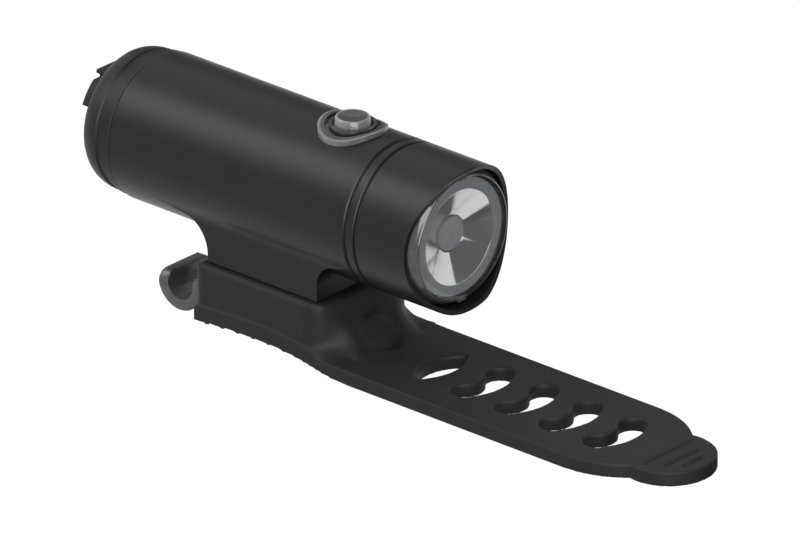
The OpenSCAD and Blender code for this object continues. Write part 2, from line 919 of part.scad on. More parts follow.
// The two shoulder arcs that narrow the strap to its tab
module shoulder_plan() {
    intersection() {
        translate([strap_w / 2 - shoulder_r, shoulder_y])
            circle(shoulder_r);
        translate([shoulder_r - strap_w / 2, shoulder_y])
            circle(shoulder_r);
    }
}

// First slot: an oval of two arcs with blunt ends
module slot_oval() {
    intersection() {
        translate([0, slot1_y - slot1_front + slot1_front_r])
            circle(slot1_front_r);
        translate([0, slot1_y + slot1_rear - slot1_rear_r])
            circle(slot1_rear_r);
        box2(-slot1_half, slot1_y - strap_w, slot1_half, slot1_y + strap_w);
    }
}

// Bean shaped slot: two round lobes, an arch in front and a bump behind; front is -y.
// The arch and the bump run a hair into the lobes, so that no two arcs only touch.
module slot_bean() {
    for (s = [-1, 1])
        translate([s * lobe_x, lobe_y])
            circle(slot_lobe_r);
    ka = (arch_r + 1) / (arch_r - slot_lobe_r);
    kb = (bump_r - 1) / (bump_r + slot_lobe_r);
    ax = lobe_x * ka;
    ay = arch_c + (lobe_y - arch_c) * ka;
    bx = lobe_x * kb;
    by = bump_c + (lobe_y - bump_c) * kb;
    difference() {
        intersection() {
            polygon([[-ax, ay], [-lobe_x, lobe_y], [-bx, by], [bx, by], [lobe_x, lobe_y], [ax, ay],
                     [ax, -slot_front - 2], [-ax, -slot_front - 2]]);
            translate([0, arch_c])
                circle(arch_r - slot_bite);
        }
        translate([0, bump_c])
            circle(bump_r + slot_bite);
    }
}

module strap_tongue() {
    color([0.09, 0.09, 0.09])
        difference() {
            translate([0, 0, strap_z0])
                linear_extrude(strap_t)
                    strap_plan();
            translate([0, 0, strap_z0 - eps])
                linear_extrude(strap_t + 2 * eps)
                    slot_oval();
            for (k = [0 : 3])
                translate([0, slot2_y - k * slot_pitch, strap_z0 - eps])
                    linear_extrude(strap_t + 2 * eps)
                        slot_bean();
            for (g = [[0, 16], [3.8, 11.5], [6.8, 6.8]])
                translate([-g[1] / 2, tab_y - g[0], strap_z1 + 0.1])
                    rotate([0, 90, 0])
                        cylinder(h = g[1], r = groove_r);
        }
}

body_shell();
heat_sink();
body_seal();
bezel_seal();
bezel();
front_lens();
lens_gasket();
reflector();
centre_lens();
led_emitter();
led_board();
board_screws();
battery_cell();
cell_tabs();
cell_carrier();
driver_board();
usb_socket();
tact_switch();
indicator_leds();
button_surround();
button_cap();
switch_plunger();
rear_cap();
rear_gasket();
cover_anchor();
port_cover();
strap_cradle();
strap_hook();
mount_screws();
strap_tongue();
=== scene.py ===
"""Looks of a handlebar light on a rubber strap mount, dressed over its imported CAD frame."""

import json
import math

import bmesh
import bpy
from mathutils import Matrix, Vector
from mathutils.kdtree import KDTree


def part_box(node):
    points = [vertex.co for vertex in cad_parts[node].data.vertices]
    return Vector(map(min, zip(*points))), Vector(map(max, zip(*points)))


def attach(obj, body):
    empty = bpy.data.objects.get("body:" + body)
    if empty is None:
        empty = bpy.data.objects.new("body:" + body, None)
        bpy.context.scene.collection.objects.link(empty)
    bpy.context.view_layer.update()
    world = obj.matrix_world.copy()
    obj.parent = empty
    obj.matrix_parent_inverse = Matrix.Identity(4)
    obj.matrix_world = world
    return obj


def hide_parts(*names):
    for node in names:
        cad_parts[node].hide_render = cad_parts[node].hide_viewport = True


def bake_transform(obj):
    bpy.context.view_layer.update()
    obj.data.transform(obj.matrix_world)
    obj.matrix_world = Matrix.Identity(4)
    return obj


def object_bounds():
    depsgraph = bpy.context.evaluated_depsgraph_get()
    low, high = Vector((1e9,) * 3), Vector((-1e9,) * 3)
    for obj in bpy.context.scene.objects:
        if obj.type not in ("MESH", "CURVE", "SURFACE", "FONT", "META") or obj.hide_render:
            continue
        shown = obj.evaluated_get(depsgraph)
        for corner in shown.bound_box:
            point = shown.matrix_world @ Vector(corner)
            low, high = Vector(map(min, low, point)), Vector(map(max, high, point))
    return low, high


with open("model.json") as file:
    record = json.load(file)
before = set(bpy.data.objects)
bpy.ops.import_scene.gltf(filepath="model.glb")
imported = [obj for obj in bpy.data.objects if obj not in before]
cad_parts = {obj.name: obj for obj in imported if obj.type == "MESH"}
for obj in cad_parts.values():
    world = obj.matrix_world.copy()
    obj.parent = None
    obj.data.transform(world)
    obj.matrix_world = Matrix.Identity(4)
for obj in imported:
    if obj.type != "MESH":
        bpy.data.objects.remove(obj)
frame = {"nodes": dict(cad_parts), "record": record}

CAD_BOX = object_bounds()
SLOT_OF = {row["node"]: row["material_slot"] for row in frame["record"]["subparts"]}
MM = 0.001

# Sizes in millimetres; a name that ends in _F is a place counted forward along the tube.
AXIS = 31.2  # height of the tube's axis over the saddle
LENS_F = 43.4
LENS_THICK = 1.6
BOWL_RIM = 10.4
BUTTON_F = 13.0
HINGE = (50.525, 36.5)  # y and z of the line that the port cover folds on
SEAL_REACH = {"body_seal": 15.72, "bezel_seal": 15.72, "rear_gasket": 15.74}
SADDLE_FRONT, SADDLE_BACK = 75.0, 170.0  # radii of the saddle's two arcs
SLOTS = [-37.4, -50.4, -62.5, -74.6, -86.7]  # y of the strap's slots
TONGUE_TOP = 0.6
NUB_SIZE = 0.85
STRAP_DROP = 82.0  # how far the strap reaches below the rest when it is bent down
STRAP_VOXEL = 0.34  # fineness of the skin of a rubber piece
FLAP_VOXEL = 0.17


# Camera and light

AZIMUTH = math.radians(-48)
ELEVATION = math.radians(24.6)
AIM = Vector((-2.88, -28.59, 21.29)) * MM
SHOT_WIDTH = 163.7 * MM
LENS = 1100
SENSOR = 36
FILL = 0.75  # strength of the even light on the part
FLOOR_HALF = 3.0
FLOOR_TONE = 0.35
FLOOR_GLOW = 1.2
FLOOR_SHARE = 0.8  # of the floor, what glows white where it is seen
FLAG_TONE = 0.13
# Dark level cards, which shape what the bowl mirrors: name, place and size in metres
TABLE_FLAGS = [
    ("flag_table", (-0.078, -0.71), (0.245, 1.19)),
    ("flag_near", (0.015, -0.105), (0.03, 0.04)),
    ("flag_far", (0.1, -0.85), (0.9, 0.9)),
    ("flag_side", (0.081, -0.113), (0.098, 0.094)),
]


def toward(azimuth, elevation):
    """Unit vector from the object to a place round it."""
    flat = math.cos(elevation)
    return Vector((math.sin(azimuth) * flat, -math.cos(azimuth) * flat, math.sin(elevation)))


def add_object(name, data):
    made = bpy.data.objects.new(name, data)
    bpy.context.scene.collection.objects.link(made)
    return made


def aim(thing, way, distance):
    """Puts a thing that far out on a line from the object, with its +Z looking away from it."""
    way = Vector(way).normalized()
    thing.location = AIM + way * distance
    thing.rotation_mode = "QUATERNION"
    thing.rotation_quaternion = way.to_track_quat("Z", "Y")


def add_camera():
    data = bpy.data.cameras.new("camera")
    data.lens = LENS
    data.sensor_width = SENSOR
    data.sensor_fit = "HORIZONTAL"
    data.clip_start = 0.05
    data.clip_end = 20
    camera = add_object("camera", data)
    aim(camera, toward(AZIMUTH, ELEVATION), SHOT_WIDTH * LENS / SENSOR)
    bpy.context.scene.camera = camera


def add_softbox(name, way, distance, size, power):
    """Area lamp that faces the light body."""
    data = bpy.data.lights.new(name, "AREA")
    data.shape = "RECTANGLE"
    data.size, data.size_y = size
    data.energy = power
    aim(add_object(name, data), way, distance)


def add_card(name, centre, size, tone):
    """Card of the studio that only mirrors and glass see, facing the object."""
    mesh = bpy.data.meshes.new(name)
    x, y = size[0] / 2, size[1] / 2
    mesh.from_pydata([(-x, -y, 0), (x, -y, 0), (x, y, 0), (-x, y, 0)], [], [(0, 1, 2, 3)])
    card = add_object(name, mesh)
    way = Vector(centre) - AIM
    aim(card, way, way.length)
    paint = bpy.data.materials.new(name)
    paint.use_nodes = True
    tree = paint.node_tree
    tree.nodes.clear()
    out = tree.nodes.new("ShaderNodeOutputMaterial")
    glow = tree.nodes.new("ShaderNodeEmission")
    glow.inputs["Strength"].default_value = tone
    tree.links.new(glow.outputs[0], out.inputs["Surface"])
    mesh.materials.append(paint)
    card.visible_camera = False
    card.visible_diffuse = False
    card.visible_shadow = False
    return card


def add_table_flags():
    """Lays the dark cards flat, just over the part's lowest point and a hair over each other."""
    for level, (name, place, size) in enumerate(TABLE_FLAGS):
        height = CAD_BOX[0].z + (0.3 + 0.1 * level) * MM
        card = add_card(name, (*place, height), size, FLAG_TONE)
        card.rotation_quaternion = (1, 0, 0, 0)


def seen_white(tree):
    """1 for the camera, for mirrors and through glass, 0 for light that falls on the object."""
    path = tree.nodes.new("ShaderNodeLightPath")
    total = path.outputs["Is Camera Ray"]
    for ray in ("Is Glossy Ray", "Is Transmission Ray"):
        step = tree.nodes.new("ShaderNodeMath")
        step.operation = "MAXIMUM"
        tree.links.new(total, step.inputs[0])
        tree.links.new(path.outputs[ray], step.inputs[1])
        total = step.outputs[0]
    return total


def light_world():
    world = bpy.data.worlds.new("studio")
    bpy.context.scene.world = world
    world.use_nodes = True
    tree = world.node_tree
    tree.nodes.clear()
    out = tree.nodes.new("ShaderNodeOutputWorld")
    white = tree.nodes.new("ShaderNodeBackground")
    white.inputs["Color"].default_value = (1, 1, 1, 1)
    fill = tree.nodes.new("ShaderNodeBackground")
    fill.inputs["Strength"].default_value = FILL
    mix = tree.nodes.new("ShaderNodeMixShader")
    tree.links.new(seen_white(tree), mix.inputs[0])
    tree.links.new(fill.outputs[0], mix.inputs[1])
    tree.links.new(white.outputs[0], mix.inputs[2])
    tree.links.new(mix.outputs[0], out.inputs["Surface"])


def add_floor():
    """White floor, low enough for the bent strap, with a matt share that keeps a faint shadow."""
    mesh = bpy.data.meshes.new("floor")
    side = FLOOR_HALF
    z = CAD_BOX[0].z - STRAP_DROP * MM
    mesh.from_pydata(
        [(-side, -side, z), (side, -side, z), (side, side, z), (-side, side, z)], [], [(0, 1, 2, 3)]
    )
    floor = add_object("floor", mesh)
    paint = bpy.data.materials.new("white_floor")
    paint.use_nodes = True
    tree = paint.node_tree
    tree.nodes.clear()
    out = tree.nodes.new("ShaderNodeOutputMaterial")
    matt = tree.nodes.new("ShaderNodeBsdfDiffuse")
    matt.inputs["Color"].default_value = (*grey(FLOOR_TONE), 1)
    glow = tree.nodes.new("ShaderNodeEmission")
    glow.inputs["Strength"].default_value = FLOOR_GLOW
    share = tree.nodes.new("ShaderNodeMath")
    share.operation = "MULTIPLY"
    share.inputs[1].default_value = FLOOR_SHARE
    mix = tree.nodes.new("ShaderNodeMixShader")
    tree.links.new(seen_white(tree), share.inputs[0])
    tree.links.new(share.outputs[0], mix.inputs[0])
    tree.links.new(matt.outputs[0], mix.inputs[1])
    tree.links.new(glow.outputs[0], mix.inputs[2])
    tree.links.new(mix.outputs[0], out.inputs["Surface"])
    mesh.materials.append(paint)


# Finishes

ACRYLIC = 1.49  # index of refraction
DULL = {"Specular_IOR_Level": 0.2}  # the blacks mirror little


class Finish:
    """One node material with its shader and its Object coordinates at hand."""

    def __init__(self, name):
        self.material = bpy.data.materials.new(name)
        self.material.use_nodes = True
        self.tree = self.material.node_tree
        self.shader = self.tree.nodes["Principled BSDF"]
        self.place = self.add("ShaderNodeTexCoord").outputs["Object"]

    def add(self, kind, **settings):
        node = self.tree.nodes.new(kind)
        for key, value in settings.items():
            setattr(node, key, value)
        return node

    def link(self, source, socket):
        self.tree.links.new(source, socket)

    def set(self, **values):
        for key, value in values.items():
            self.shader.inputs[key.replace("_", " ")].default_value = value

    def noise(self, size_mm, detail=3.0, stretch=(1, 1, 1)):
        """Grain of about that size, drawn out along the axes with a small stretch value."""
        mapping = self.add("ShaderNodeMapping")
        mapping.inputs["Scale"].default_value = stretch
        grain = self.add("ShaderNodeTexNoise")
        grain.inputs["Scale"].default_value = 1 / (size_mm * MM)
        grain.inputs["Detail"].default_value = detail
        self.link(self.place, mapping.inputs["Vector"])
        self.link(mapping.outputs["Vector"], grain.inputs["Vector"])
        return grain.outputs["Fac"]

    def off_axis(self, centre_mm, keep):
        """Distance from a line through a point, along the axis whose keep value is 0."""
        shift = self.add("ShaderNodeVectorMath", operation="SUBTRACT")
        shift.inputs[1].default_value = Vector(centre_mm) * MM
        flat = self.add("ShaderNodeVectorMath", operation="MULTIPLY")
        flat.inputs[1].default_value = keep
        size = self.add("ShaderNodeVectorMath", operation="LENGTH")
        self.link(self.place, shift.inputs[0])
        self.link(shift.outputs["Vector"], flat.inputs[0])
        self.link(flat.outputs["Vector"], size.inputs[0])
        return size.outputs["Value"]

    def ramp(self, value, start, end, low=0.0, high=1.0):
        """A number that goes from low to high while another goes from start to end."""
        node = self.add("ShaderNodeMapRange")
        node.inputs["From Min"].default_value = start
        node.inputs["From Max"].default_value = end
        node.inputs["To Min"].default_value = low
        node.inputs["To Max"].default_value = high
        self.link(value, node.inputs["Value"])
        return node.outputs["Result"]

    def spread(self, fac, low, high):
        """A number that follows a noise pattern between two values."""
        return self.ramp(fac, 0.3, 0.7, low, high)

    def tint(self, fac, dark, light):
        """A colour that follows a pattern between two colours, or two colour sources."""
        node = self.add("ShaderNodeMix", data_type="RGBA")
        for key, value in (("A", dark), ("B", light)):
            if isinstance(value, tuple):
                node.inputs[key].default_value = (*value, 1)
            else:
                self.link(value, node.inputs[key])
        self.link(fac, node.inputs["Factor"])
        return node.outputs["Result"]

    def colour(self, source):
        self.link(source, self.shader.inputs["Base Color"])

    def rough(self, source):
        self.link(source, self.shader.inputs["Roughness"])

    def relief(self, *layers):
        """Bump from patterns, each with its depth in millimetres."""
        normal = None
        for fac, depth in layers:
            node = self.add("ShaderNodeBump")
            node.inputs["Strength"].default_value = 1.0
            node.inputs["Distance"].default_value = depth * MM
            self.link(fac, node.inputs["Height"])
            if normal:
                self.link(normal, node.inputs["Normal"])
            normal = node.outputs["Normal"]
        self.link(normal, self.shader.inputs["Normal"])


def grey(value, cool=0.0):
    return (value, value, value * (1 + cool))


def grained(name, low, high, rough, grain_mm, depth, cool=0.0, **sockets):
    """Moulded or blasted surface: slow patches of tone, fine grain in gloss and relief."""
    finish = Finish(name)
    patch = finish.noise(9, 4)
    grain = finish.noise(grain_mm, 2)
    finish.colour(finish.tint(finish.spread(patch, 0, 1), grey(low, cool), grey(high, cool)))
    finish.rough(finish.spread(grain, rough - 0.05, rough + 0.05))
    finish.relief((grain, depth))
    finish.set(**sockets)
    return finish.material


def clear(name, tone):
    """Glass-clear plastic with a trace of mist."""
    finish = Finish(name)
    mist = finish.noise(2.5, 3)
    finish.colour(finish.tint(mist, grey(tone * 0.96, 0.01), grey(tone, 0.01)))
    finish.rough(finish.spread(mist, 0, 0.03))
    finish.set(Transmission_Weight=1.0, IOR=ACRYLIC)
    return finish.material


def frosted(name, low, high, rough, passes):
    """Cloudy plastic that passes a share of the light."""
    finish = Finish(name)
    cloud = finish.noise(1.6, 3)
    finish.colour(finish.tint(finish.spread(cloud, 0, 1), grey(low), grey(high, 0.02)))
    finish.rough(finish.spread(cloud, rough, rough + 0.06))
    finish.set(Transmission_Weight=passes, IOR=ACRYLIC)
    return finish.material


def smoked(name, dark, painted_rim_tone, edge_mm, rough):
    """Smoked plastic, painted lighter outside a circle round the button's axis: a painted highlight
    for the bright rim of the ring and the side wall of the button.
    """
    finish = Finish(name)
    cloud = finish.noise(1.6, 3)
    patch = finish.spread(cloud, 0, 1)
    inside = finish.tint(patch, grey(dark[0]), grey(dark[1], 0.02))
    # painted highlight: the lighter tone outside the circle, for the rim and side wall that look
    # bright
    outside = finish.tint(patch, grey(painted_rim_tone[0]), grey(painted_rim_tone[1], 0.01))
    out = finish.off_axis((0, -BUTTON_F, 0), (1, 1, 0))
    edge = finish.ramp(out, edge_mm[0] * MM, edge_mm[1] * MM)
    finish.colour(finish.tint(edge, inside, outside))
    finish.rough(finish.spread(cloud, *rough))
    finish.set(Transmission_Weight=0.08, IOR=ACRYLIC)
    return finish.material


def bright_bowl(name):
    """Metallised inside the bowl, grey paint on the flange round it, painted lighter than the paint
    to stand in for the light that the lens keeps off it.
    """
    finish = Finish(name)
    peel = finish.noise(1.2, 2)
    out = finish.off_axis((0, 0, AXIS), (1, 0, 1))
    flange = finish.ramp(out, (BOWL_RIM - 0.02) * MM, (BOWL_RIM + 0.06) * MM)
    metal = finish.tint(peel, grey(0.74), grey(0.82, 0.01))
    # painted light: the flange grey is lighter than the real paint, for light held back by the
    # clear lens
    finish.colour(finish.tint(flange, metal, grey(0.36)))
    finish.rough(finish.ramp(flange, 0, 1, 0.09, 0.45))
    finish.relief((peel, 0.006))
    finish.link(finish.ramp(flange, 0, 1, 1.0, 0.0), finish.shader.inputs["Metallic"])
    return finish.material


def plated(name):
    """Bright plated steel with fine streaks."""
    finish = Finish(name)
    streak = finish.noise(0.25, 3, (1, 0.15, 1))
    finish.colour(finish.tint(streak, grey(0.42), grey(0.56, 0.01)))
    finish.rough(finish.spread(streak, 0.28, 0.42))
    finish.relief((streak, 0.004))
    finish.set(Metallic=1.0)
    return finish.material


def speckled(name, dark, light, rough, speck_mm, depth):
    """Filled plastic, board mask or film: a base colour with fine specks."""
    finish = Finish(name)
    speck = finish.noise(speck_mm, 5)
    cloud = finish.noise(6, 3)
    finish.colour(finish.tint(finish.spread(speck, 0, 1), dark, light))
    finish.rough(finish.spread(cloud, rough - 0.06, rough + 0.06))
    finish.relief((speck, depth))
    return finish.material


def make_finishes():
    """Every finish by its slot; pressed_seal and lens_rim are second looks within a slot."""
    return {
        "anodised_black": grained("anodised_black", 0.013, 0.015, 0.36, 0.16, 0.004, 0.02, **DULL),
        "strap_rubber": grained("strap_rubber", 0.018, 0.021, 0.62, 0.22, 0.008, 0.01, **DULL),
        "cap_plastic": grained("cap_plastic", 0.013, 0.016, 0.45, 0.2, 0.005, 0.02, **DULL),
        "seal_rubber": grained("seal_rubber", 0.010, 0.016, 0.7, 0.3, 0.006, **DULL),
        "pressed_seal": grained(
            "pressed_seal", 0.020, 0.028, 0.6, 0.3, 0.006, Specular_IOR_Level=0.3
        ),
        "inner_plastic": grained("inner_plastic", 0.05, 0.06, 0.5, 0.3, 0.008),
        "hook_grey": speckled("hook_grey", grey(0.075), grey(0.1), 0.3, 0.35, 0.005),
        "white_board": speckled("white_board", grey(0.7), grey(0.8), 0.4, 0.8, 0.004),
        "led_phosphor": speckled(
            "led_phosphor", (0.75, 0.6, 0.1), (0.9, 0.75, 0.2), 0.3, 0.2, 0.004
        ),
        "cell_wrap": speckled("cell_wrap", (0.02, 0.16, 0.08), (0.03, 0.2, 0.1), 0.25, 3, 0.01),
        "green_board": speckled(
            "green_board", (0.006, 0.07, 0.03), (0.01, 0.1, 0.04), 0.35, 0.9, 0.01
        ),
        "clear_lens": clear("clear_lens", 0.97),
        "lens_rim": frosted("lens_rim", 0.12, 0.16, 0.07, 0.0),
        # painted light: the light guide's grey is lighter than its plastic, for light held back by
        # the clear lens
        "frosted_lens": frosted("frosted_lens", 0.4, 0.48, 0.35, 0.1),
        # the second, lighter tone of each smoked finish is a painted highlight on its rim
        "smoke_plastic": smoked(
            "smoke_plastic", (0.045, 0.065), (0.22, 0.28), (6.6, 6.95), (0.1, 0.16)
        ),
        "smoke_button": smoked(
            "smoke_button", (0.055, 0.07), (0.3, 0.36), (3.0, 3.2), (0.2, 0.28)
        ),
        "metallised_bowl": bright_bowl("metallised_bowl"),
        "steel": plated("steel"),
    }


def wear(piece, slot, *others):
    """Gives a piece its finish, and more for faces that ask for them by number."""
    piece.data.materials.clear()
    for name in (slot, *others):
        piece.data.materials.append(FINISHES[name])


def paint_nodes():
    """Gives every CAD node the finish of its slot."""
    for name, node in frame["nodes"].items():
        node.data.materials.clear()
        node.data.materials.append(FINISHES[SLOT_OF[name]])


# Pieces

TURNS = 144  # sides of a turned piece


def merged_copy(name, *nodes):
    """One mesh object from CAD nodes, with the doubles of their loose triangles merged."""
    mesh = bpy.data.meshes.new(name)
    work = bmesh.new()
    for node in nodes:
        work.from_mesh(frame["nodes"][node].data)
    bmesh.ops.remove_doubles(work, verts=work.verts, dist=1e-7)
    work.to_mesh(mesh)
    work.free()
    return add_object(name, mesh)


def settle(piece):
    """Turns a piece's modifiers into plain mesh."""
    graph = bpy.context.evaluated_depsgraph_get()
    mesh = bpy.data.meshes.new_from_object(piece.evaluated_get(graph))
    piece.modifiers.clear()
    old = piece.data
    piece.data = mesh
    mesh.name = piece.name
    bpy.data.meshes.remove(old)


def shade(piece, degrees):
    """Smooth faces, with a crease where the surface turns by more than that."""
    piece.data.shade_smooth()
    piece.data.set_sharp_from_angle(angle=math.radians(degrees))


def turned(name, outline):
    """Solid of revolution about the tube axis from (radius, distance forward) in millimetres."""
    work = bmesh.new()
    rings = []
    for radius, forward in outline:
        angles = [2 * math.pi * i / TURNS for i in range(TURNS if radius > 0 else 1)]
        rings.append([
            work.verts.new((
                radius * MM * math.cos(angle),
                -forward * MM,
                (AXIS + radius * math.sin(angle)) * MM,
            ))
            for angle in angles
        ])
    for here, there in zip(rings, rings[1:] + rings[:1]):
        for i in range(TURNS):
            j = (i + 1) % TURNS
            walk = ((here, i), (there, i), (there, j), (here, j))
            corners = list(dict.fromkeys(ring[k % len(ring)] for ring, k in walk))
            if len(corners) > 2:
                work.faces.new(corners)
    bmesh.ops.recalc_face_normals(work, faces=work.faces)
    mesh = bpy.data.meshes.new(name)
    work.to_mesh(mesh)
    work.free()
    return add_object(name, mesh)


def add_block(mesh, low, high):
    """Adds a box, given by two corners in millimetres, to a mesh."""
    work = bmesh.new()
    work.from_mesh(mesh)
    size = Vector(high) - Vector(low)
    made = bmesh.ops.create_cube(work, size=1)["verts"]
    for vert in made:
        vert.co = Vector([(low[k] + (vert.co[k] + 0.5) * size[k]) * MM for k in range(3)])
    work.to_mesh(mesh)
    work.free()


def arc(centre, radius, start, end, steps):
    """Points of an arc in a turned outline, angles in degrees from the outward direction."""
    angles = [math.radians(start + (end - start) * i / steps) for i in range(steps + 1)]
    return [
        (centre[0] + radius * math.cos(angle), centre[1] + radius * math.sin(angle))
        for angle in angles
    ]


def make_lens():
    """Clear front with a cloudy skirt, whose edge is rounded where it stands out of the bezel."""
    flat_r, edge_round, skirt_in, skirt_out = 13.15, 0.7, 12.9, 14.9
    back = LENS_F - 4.2
    outline = [(0, LENS_F), (BOWL_RIM, LENS_F), (flat_r, LENS_F)]
    outline += arc((flat_r, LENS_F - edge_round), edge_round, 80, 20, 6)
    outline += [
        (14.0, LENS_F - 0.75), (14.8, LENS_F - 2.0), (skirt_out, LENS_F - 3.0), (skirt_out, back),
        (skirt_in, back), (skirt_in, LENS_F - LENS_THICK), (0, LENS_F - LENS_THICK),
    ]
    piece = turned("lens_cover", outline)
    for side in (-1, 1):  # a lug at the top and at the bottom
        z = AXIS + side * 13.55
        add_block(piece.data, (-1.2, -LENS_F + 0.25, z - 0.6), (1.2, -LENS_F + 1.2, z + 0.6))
    shade(piece, 30)
    wear(piece, "clear_lens", "lens_rim")
    for face in piece.data.polygons:
        middle = Vector(face.center) / MM - Vector((0, 0, AXIS))
        on_rim = math.hypot(middle.x, middle.z) > flat_r + 0.25
        if on_rim or middle.y > -LENS_F + LENS_THICK + 0.05:
            face.material_index = 1
    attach(piece, "housing")
    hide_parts("front_lens")


def make_reflector():
    """Bowl with an even curve, and the domed light guide in its throat."""
    bowl_f, throat, depth, curve, steps = LENS_F - 1.8, 4.05, 2.6, 1.08, 28
    bowl = [
        (throat + (BOWL_RIM - throat) * i / steps, bowl_f - depth * (1 - (i / steps) ** curve))
        for i in range(steps + 1)
    ]
    back = [
        (12.7, bowl_f), (12.7, bowl_f - 1.2), (11.6, bowl_f - 1.2), (6, bowl_f - 5.7),
        (6, bowl_f - 7.3), (3.6, bowl_f - 7.3), (3.6, bowl_f - 5.3), (throat, bowl_f - 5.3),
    ]
    piece = turned("reflector_bowl", bowl + back)
    shade(piece, 30)
    wear(piece, "metallised_bowl")
    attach(piece, "housing")
    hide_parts("reflector")

    front = bowl_f - depth + 0.35
    dome = [(0, front + 0.25), (1.2, front + 0.23), (2.4, front + 0.15), (3.4, front)]
    dome += arc((3.45, front - 0.35), 0.35, 80, 0, 5)
    guide = turned("light_guide", dome + [(3.85, bowl_f - 5.2), (0, bowl_f - 5.2)])
    shade(guide, 40)
    wear(guide, "frosted_lens")
    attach(guide, "housing")
    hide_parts("centre_lens")


def softened(name, node, width, body="housing"):
    """Copy of a rigid node with its edges broken as on the real part."""
    piece = merged_copy(name, node)
    work = bmesh.new()
    work.from_mesh(piece.data)
    bmesh.ops.dissolve_limit(
        work, angle_limit=math.radians(0.5), verts=work.verts, edges=work.edges, delimit=set()
    )
    work.to_mesh(piece.data)
    work.free()
    bevel = piece.modifiers.new("edges", "BEVEL")
    bevel.width = width * MM
    bevel.segments = 3
    bevel.limit_method = "ANGLE"
    bevel.angle_limit = math.radians(35)
    bevel.use_clamp_overlap = True
    settle(piece)
    shade(piece, 45)
    wear(piece, SLOT_OF[node])
    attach(piece, body)
    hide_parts(node)


def one_skin(piece, voxel):
    """Rebuilds a piece as one even skin."""
    remesh = piece.modifiers.new("remesh", "REMESH")
    remesh.mode = "VOXEL"
    remesh.voxel_size = voxel * MM
    remesh.use_smooth_shade = True
    settle(piece)


def weigh(piece, name, weight_of):
    """Vertex group whose weights come from a place in millimetres."""
    group = piece.vertex_groups.new(name=name)
    for vert in piece.data.vertices:
        weight = weight_of(Vector(vert.co) / MM)
        if weight > 0:
            group.add([vert.index], min(weight, 1.0), "REPLACE")


def soften(piece, group, turns, factor=0.5):
    """Smooths a piece where its vertex group has weight."""
    step = piece.modifiers.new(group, "SMOOTH")
    step.factor = factor
    step.iterations = turns
    step.vertex_group = group


def fall(distance, near, far):
    """1 up to near, 0 from far on."""
    return max(0.0, min(1.0, (far - distance) / (far - near)))


def make_strap():
    """Cradle, ramp and tongue as the one rubber moulding they are, with every edge rounded."""

    def by_slots(p):
        return -91 < p.y < -33

    places = [Vector(vert.co) / MM for vert in frame["nodes"]["strap_tongue"].data.vertices]
    rims = [p for p in places if abs(p.z - TONGUE_TOP) < 0.02 and abs(p.x) < 9.5 and by_slots(p)]
    tree = KDTree(len(rims))
    for i, place in enumerate(rims):
        tree.insert(place, i)
    tree.balance()

    piece = merged_copy("strap_moulding", "strap_cradle", "strap_tongue")
    one_skin(piece, STRAP_VOXEL)
    for vert in piece.data.vertices:  # the plain nubs go flat, and make_nubs sets its own
        p = Vector(vert.co) / MM
        crown = -p.y ** 2 / (2 * (SADDLE_BACK if p.y > 0 else SADDLE_FRONT))
        if -9.2 < p.y < 17.2 and abs(p.x) < 14.95 and crown - 1.5 < p.z < crown:
            vert.co.z = crown * MM

    def edge(p):
        """Less smoothing under the tongue and in the grip lines of the tab."""
        if p.y < -92 and p.z > -0.8 and abs(p.x) < 8.6:
            return 0.12
        return 0.35 if p.z < -1.6 and p.y < -24 else 1.0

    def slot_rim(p):
        """Rear and side edges of the slots; their front edges stay sharp."""
        if not by_slots(p) or p.z < -1.2:
            return 0
        near, _, distance = tree.find(p)
        behind = near.y - min(SLOTS, key=lambda y: abs(y - near.y))
        return fall(distance, 0.7, 1.9) * fall(-behind, 0.0, 1.6)

    def ramp(p):
        """The whole front of the block, its corners and the recess run into each other."""
        lowest = -0.6 if p.y > -33 and abs(p.x) < 8 else 0.75
        return fall(-p.y, 33, 37) * fall(p.y, -17.5, -14) if p.z > lowest else 0

    def corner(p):
        """The feet of the block's front corners melt into the strap."""
        along = fall(-p.y, 30, 34) * fall(p.y, -18, -16)
        return along * fall(-p.z, -1.0, -0.7) * fall(-abs(p.x), -8, -6.5)

    for name, weight_of, turns, factor in (
        ("edges", edge, 5, 0.5), ("slot_rims", slot_rim, 18, 0.5),
        ("ramp", ramp, 150, 0.7), ("corners", corner, 250, 0.8),
    ):
        weigh(piece, name, weight_of)
        soften(piece, name, turns, factor)
    settle(piece)
    piece.vertex_groups.clear()
    wear(piece, "strap_rubber")
    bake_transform(piece)
    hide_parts("strap_cradle", "strap_tongue")


def make_flap():
    """Port cover, its root in the cap and the thin web that they bend by, in one rubber piece."""
    piece = merged_copy("port_flap", "cover_anchor", "port_cover")
    y, z = HINGE
    add_block(piece.data, (-8.7, y - 0.75, z - 0.9), (8.7, y - 0.05, z + 0.6))
    one_skin(piece, FLAP_VOXEL)
    weigh(piece, "all", lambda p: 1.0)
    soften(piece, "all", 5)
    settle(piece)
    piece.vertex_groups.clear()
    wear(piece, "strap_rubber")
    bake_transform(piece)
    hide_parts("cover_anchor", "port_cover")


# Repeated pieces

NUMBER = "NodeSocketFloat"


def open_tree(name, inputs):
    """Geometry Nodes tree with named inputs and one geometry output."""
    tree = bpy.data.node_groups.new(name, "GeometryNodeTree")
    tree.interface.new_socket("Geometry", in_out="INPUT", socket_type="NodeSocketGeometry")
    for label, kind in inputs:
        tree.interface.new_socket(label, in_out="INPUT", socket_type=kind)
    tree.interface.new_socket("Geometry", in_out="OUTPUT", socket_type="NodeSocketGeometry")
    given = tree.nodes.new("NodeGroupInput").outputs
    return tree, given, tree.nodes.new("NodeGroupOutput").inputs


def put(tree, kind, links=None, **settings):
    """Adds a node; links go to its inputs by name, and plain values are set on them."""
    node = tree.nodes.new(kind)
    for key, value in settings.items():
        setattr(node, key, value)
    for key, value in (links or {}).items():
        socket = node.inputs[key]
        if isinstance(value, bpy.types.NodeSocket):
            tree.links.new(value, socket)
        else:
            socket.default_value = value
    return node


def work_out(tree, operation, first, second=0.0):
    node = put(tree, "ShaderNodeMath", {0: first, 1: second}, operation=operation)
    return node.outputs[0]


